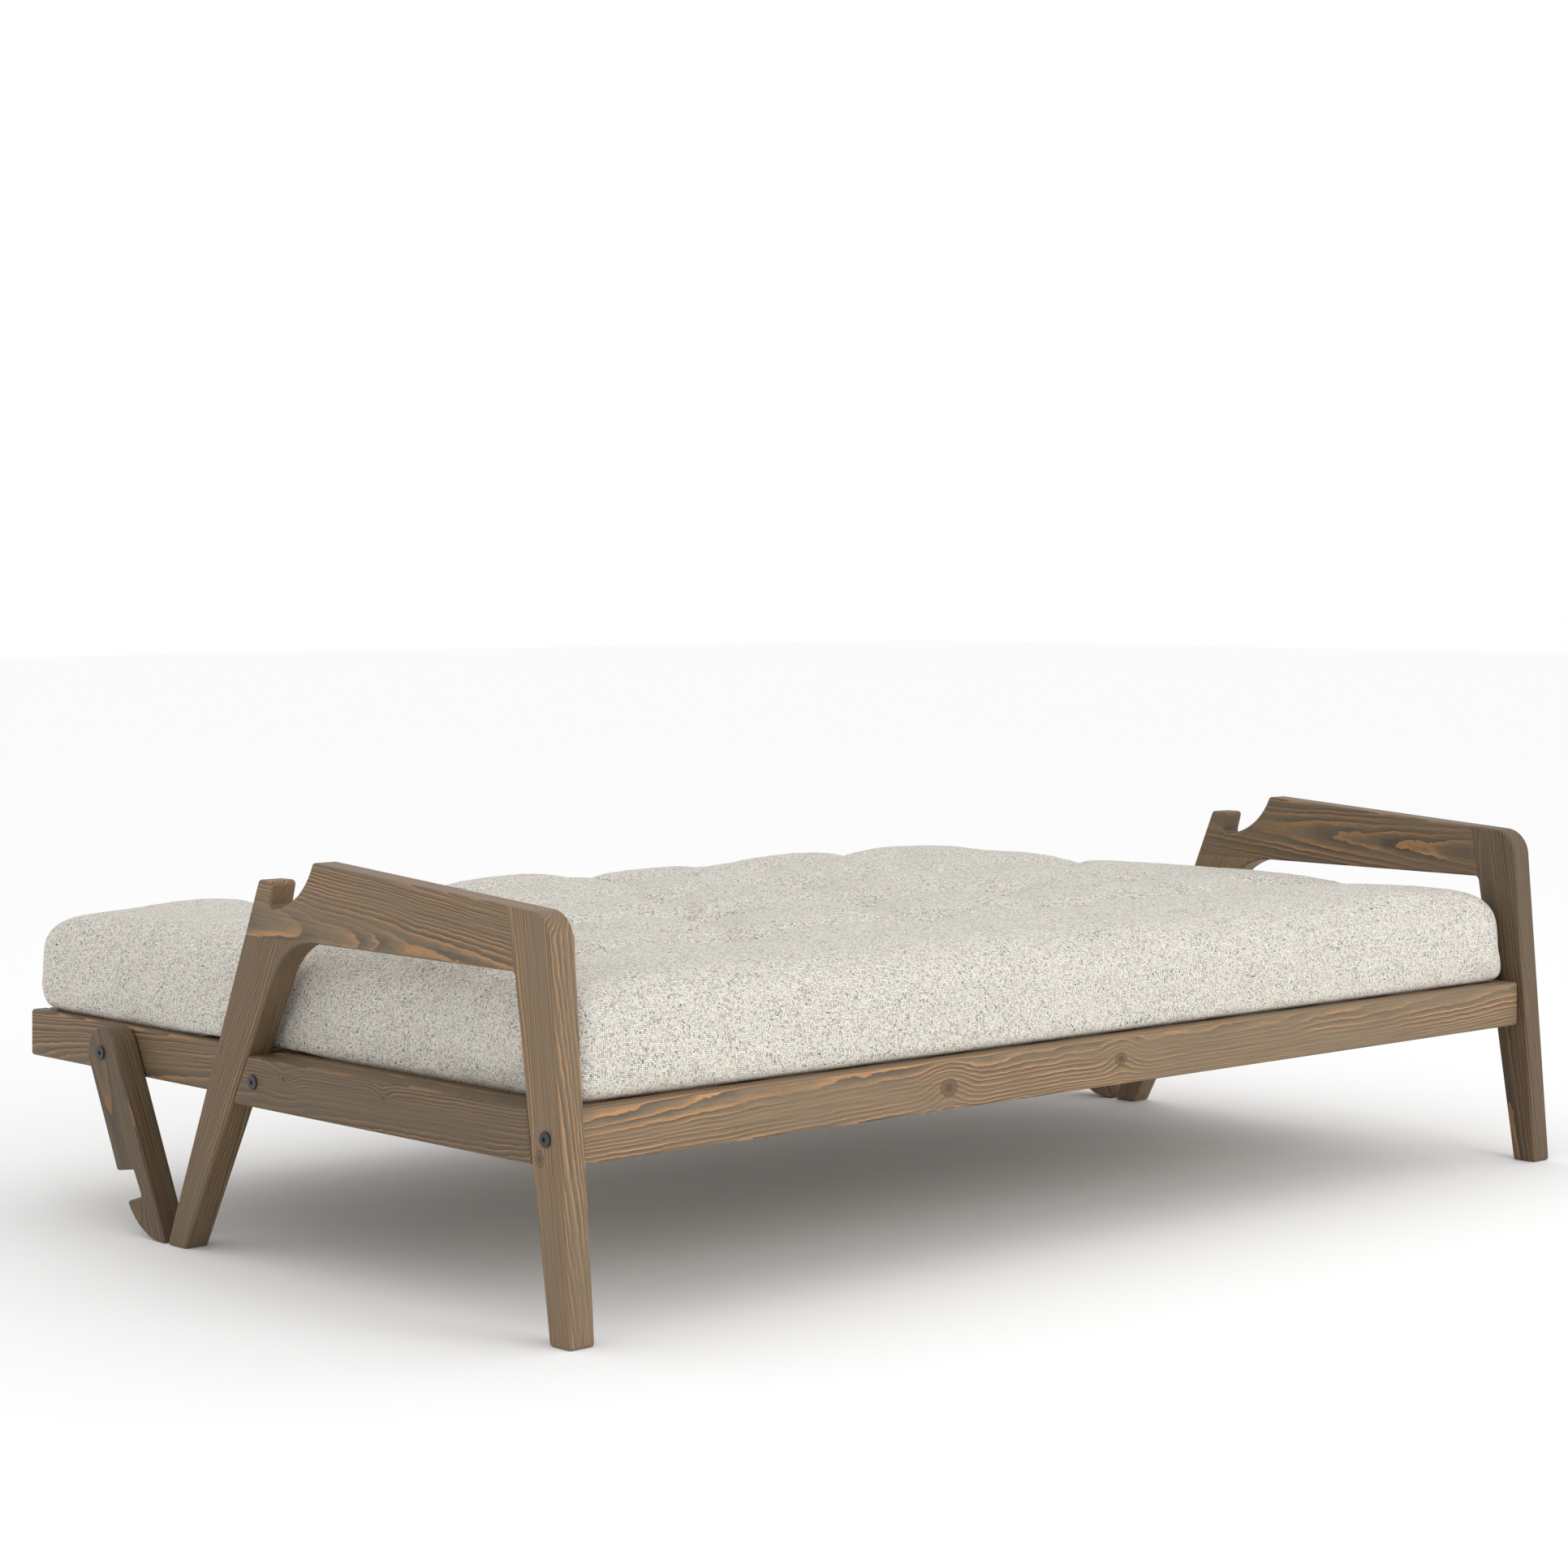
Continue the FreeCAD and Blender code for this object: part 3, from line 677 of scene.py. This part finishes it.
def weave_place(cell, axis, high_side, tables):
    """Where a corner of a face lies on the cloth, unrolled from the top down the sides."""
    along_x = tables[0][cell[0]]
    along_y = tables[1][cell[1]]
    down = tables[2][-1] - tables[2][cell[2]]
    if axis == 0:
        along_x = tables[0][-1] + down if high_side else -down
    elif axis == 1:
        along_y = tables[1][-1] + down if high_side else -down
    return along_x, along_y


def add_weave(mesh, cells, faces, tables):
    layer = mesh.uv_layers.new(name="weave")
    cells = cells.tolist()
    places = []
    for ring, axis, high_side in faces:
        for corner in ring:
            places.extend(weave_place(cells[corner], axis, high_side, tables))
    layer.data.foreach_set("uv", places)


def get_points(mesh):
    points = np.empty(len(mesh.vertices) * 3)
    mesh.vertices.foreach_get("co", points)
    return points.reshape(-1, 3)


def set_points(mesh, points):
    mesh.vertices.foreach_set("co", points.ravel())
    mesh.update()


def evaluated(piece):
    return piece.evaluated_get(bpy.context.evaluated_depsgraph_get())


def simulate(piece, pinned):
    """Let pressure swell the padding between its pinned points, and return the result."""
    group = piece.vertex_groups.new(name=CLOTH["vertex_group_mass"])
    group.add([int(i) for i in np.flatnonzero(pinned)], 1.0, "REPLACE")
    modifier = piece.modifiers.new("cloth", "CLOTH")
    for setting, value in CLOTH.items():
        setattr(modifier.settings, setting, value)
    modifier.settings.effector_weights.gravity = 0
    modifier.point_cache.frame_end = STEPS
    scene = bpy.context.scene
    for step in range(1, STEPS + 1):
        scene.frame_set(step)
    points = get_points(evaluated(piece).data)
    scene.frame_set(1)
    piece.modifiers.remove(modifier)
    piece.vertex_groups.clear()
    return points


def press(points, lines, face_axes, depth_axis, share):
    """Press folds into one face.

    Each line has a start, an end, a depth and a width, and gets shallower towards its end.
    """
    place = points[:, face_axes]
    for start, end, depth, width in lines:
        run = np.subtract(end, start)
        along = np.clip((place - start) @ run / (run @ run), 0, 1)
        gap = np.linalg.norm(place - start - along[:, None] * run, axis=1)
        points[:, depth_axis] += share * depth * (1 - along) * np.exp(-((gap / width) ** 2))


def top_folds(tufts):
    """Small creases that run out from each tuft, and shallow valleys from tuft to tuft."""
    lines = []
    for tuft in tufts:
        turn = random.uniform(0, math.tau)
        for crease in range(CREASES_PER_TUFT):
            stray = random.uniform(-CREASE_TURN, CREASE_TURN)
            angle = turn + (crease + stray) * math.tau / CREASES_PER_TUFT
            reach = random.uniform(*CREASE_REACH)
            end = tuft + reach * np.array((math.cos(angle), math.sin(angle)))
            depth = random.uniform(*CREASE_DEPTH)
            lines.append((tuft, end, depth, random.uniform(*CREASE_WIDTH)))
        for other in tufts:
            if 0 < np.linalg.norm(other - tuft) < VALLEY_REACH:
                lines.append((tuft, other, VALLEY_DEPTH, VALLEY_WIDTH))
    return lines


def side_folds(first, last, top):
    """Short creases that hang down a side of the mattress from near its top edge."""
    lines = []
    for crease in range(SIDE_CREASES):
        at = random.uniform(first, last)
        start = np.array((at, top - random.uniform(*SIDE_CREASE_BELOW)))
        sway = random.uniform(-SIDE_CREASE_SWAY, SIDE_CREASE_SWAY)
        end = start + (sway, random.uniform(*SIDE_CREASE_RUN))
        depth = random.uniform(*SIDE_CREASE_DEPTH)
        lines.append((start, end, depth, random.uniform(*SIDE_CREASE_WIDTH)))
    return lines


def add_folds(points, tufts, low, high):
    """Creases that are finer than the simulated cloth."""
    upper = smooth_step((points[:, 2] - (low[2] + high[2]) / 2) / UPPER_RAMP)
    press(points, top_folds(tufts), [0, 1], 2, -upper)
    front = smooth_step((low[1] + FACE_DEPTH - points[:, 1]) / FACE_RAMP)
    press(points, side_folds(low[0], high[0], high[2]), [0, 2], 1, front)
    for end, side in ((high[0], 1), (low[0], -1)):
        share = smooth_step((FACE_DEPTH - np.abs(end - points[:, 0])) / FACE_RAMP)
        press(points, side_folds(low[1], high[1], high[2]), [1, 2], 0, -side * share)


def shape_top(points, on_top, away, low, high, start_low, start_high):
    """Draw the tufts in, thin the edges, bulge the rear corners and make the padding uneven."""
    points[:, 2] -= on_top * TUFT_DEPTH * np.exp(-((away / TUFT_SPREAD) ** 2))
    height = np.clip((points[:, 2] - start_low[2]) / (start_high[2] - start_low[2]), 0, 1)
    edge = np.minimum(high[0] - np.abs(points[:, 0]), points[:, 1] - low[1])
    points[:, 2] -= END_DROOP * height**2 * (1 - smooth_step(edge / DROOP_REACH))
    swell = smooth_step((points[:, 1] - BEHIND_HOOKS) / CORNER_SWELL_RAMP)
    swell *= smooth_step(height / CORNER_SWELL_HEIGHT)
    swell *= smooth_step((np.abs(points[:, 0]) - CORNER_SWELL_X) / CORNER_SWELL_RAMP)
    points[:, 0] += np.sign(points[:, 0]) * CORNER_SWELL * swell
    waves = [noise.noise(Vector(point) * WAVE_SCALE) for point in points]
    points[:, 2] += WAVES * height * waves
    points += np.array([[random.gauss(0, ROUGHNESS) for axis in range(3)] for point in points])


def puff(piece, points, pinned):
    """Swell the padding, with no point moved further than PUFF_LIMIT."""
    moved = simulate(piece, pinned) - points
    length = np.linalg.norm(moved, axis=1, keepdims=True)
    return points + moved * PUFF_LIMIT * np.tanh(length / PUFF_LIMIT) / np.maximum(length, 1e-9)


def press_ends(points):
    """Flatten the ends against the arms, and leave them more room behind."""
    arm_inner = -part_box("left_armrest")[1].x
    y = points[:, 1]
    room = np.where(y < BEHIND_ARMS, -ARM_CLEARANCE, HOOK_PRESS)
    room += (CORNER_PRESS - HOOK_PRESS) * smooth_step((y - BEHIND_HOOKS) / CORNER_PRESS_RAMP)
    points[:, 0] = np.clip(points[:, 0], -arm_inner - room, arm_inner + room)


def shape_underside(points, low, high):
    """Sag onto the slats inside the frame, and rise over the hinge where the mattress folds."""
    share = 1 - smooth_step((points[:, 2] - low[2]) / SAG_HEIGHT)
    inside = smooth_step((points[:, 1] - low[1] - SAG_FROM) / SAG_RAMP)
    inside *= smooth_step((high[1] - SAG_FROM - points[:, 1]) / SAG_RAMP)
    share *= smooth_step((high[0] - SKIRT_FROM - np.abs(points[:, 0])) / SKIRT)
    off = np.clip(np.abs(points[:, 1] - hinge.y) / FOLD_REACH, 0, 1)
    over_hinge = (1 - off**2) ** 2
    points[:, 2] -= share * SAG * inside * (1 - over_hinge)
    points[:, 2] += share * FOLD_RELIEF * over_hinge


def subdivided(piece):
    subdivide = piece.modifiers.new("subdivide", "SUBSURF")
    subdivide.levels = 1
    subdivide.render_levels = 1
    mesh = bpy.data.meshes.new_from_object(evaluated(piece))
    piece.modifiers.clear()
    return mesh


def make_mattress():
    low = np.array(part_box("mattress_seat_cover")[0])
    high = np.array(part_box("mattress_back_cover")[1])
    start_low = low + START_INSET
    start_high = high - START_INSET - np.array((0, 0, TOP_SPARE))
    cells, counts, faces = box_grid(start_low, start_high)
    flat = start_low + cells * (start_high - start_low) / np.array(counts)
    points = rounded(flat, start_low, start_high)
    tables = arc_lengths(cells, points, counts)
    on_top = cells[:, 2] == counts[2]
    on_bottom = cells[:, 2] == 0
    tufts = tuft_places(high[0])
    away = np.linalg.norm(points[:, None, :2] - tufts[None], axis=2).min(axis=1)
    shape_top(points, on_top, away, low, high, start_low, start_high)

    mesh = bpy.data.meshes.new("mattress")
    mesh.from_pydata(points.tolist(), [], [ring for ring, axis, high_side in faces])
    add_weave(mesh, cells, faces, tables)
    mesh.polygons.foreach_set("use_smooth", [True] * len(mesh.polygons))
    mattress = add_object("mattress", mesh)
    points = puff(mattress, points, (on_top & (away < TUFT_PIN)) | on_bottom)
    press_ends(points)
    shape_underside(points, low, high)
    set_points(mesh, points)

    mesh = subdivided(mattress)
    fine = get_points(mesh)
    add_folds(fine, tufts, low, high)
    set_points(mesh, fine)
    mesh.materials.clear()
    mesh.materials.append(tweed())
    mattress.data = mesh
    covers = ["mattress_seat_cover", "mattress_back_cover", "mattress_fold"]
    fillings = ["mattress_seat_filling", "mattress_back_filling"]
    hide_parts(*covers, *fillings)
    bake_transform(mattress)


add_camera()
add_floor()
add_light()
paint_wood()
paint_hardware()
make_mattress()
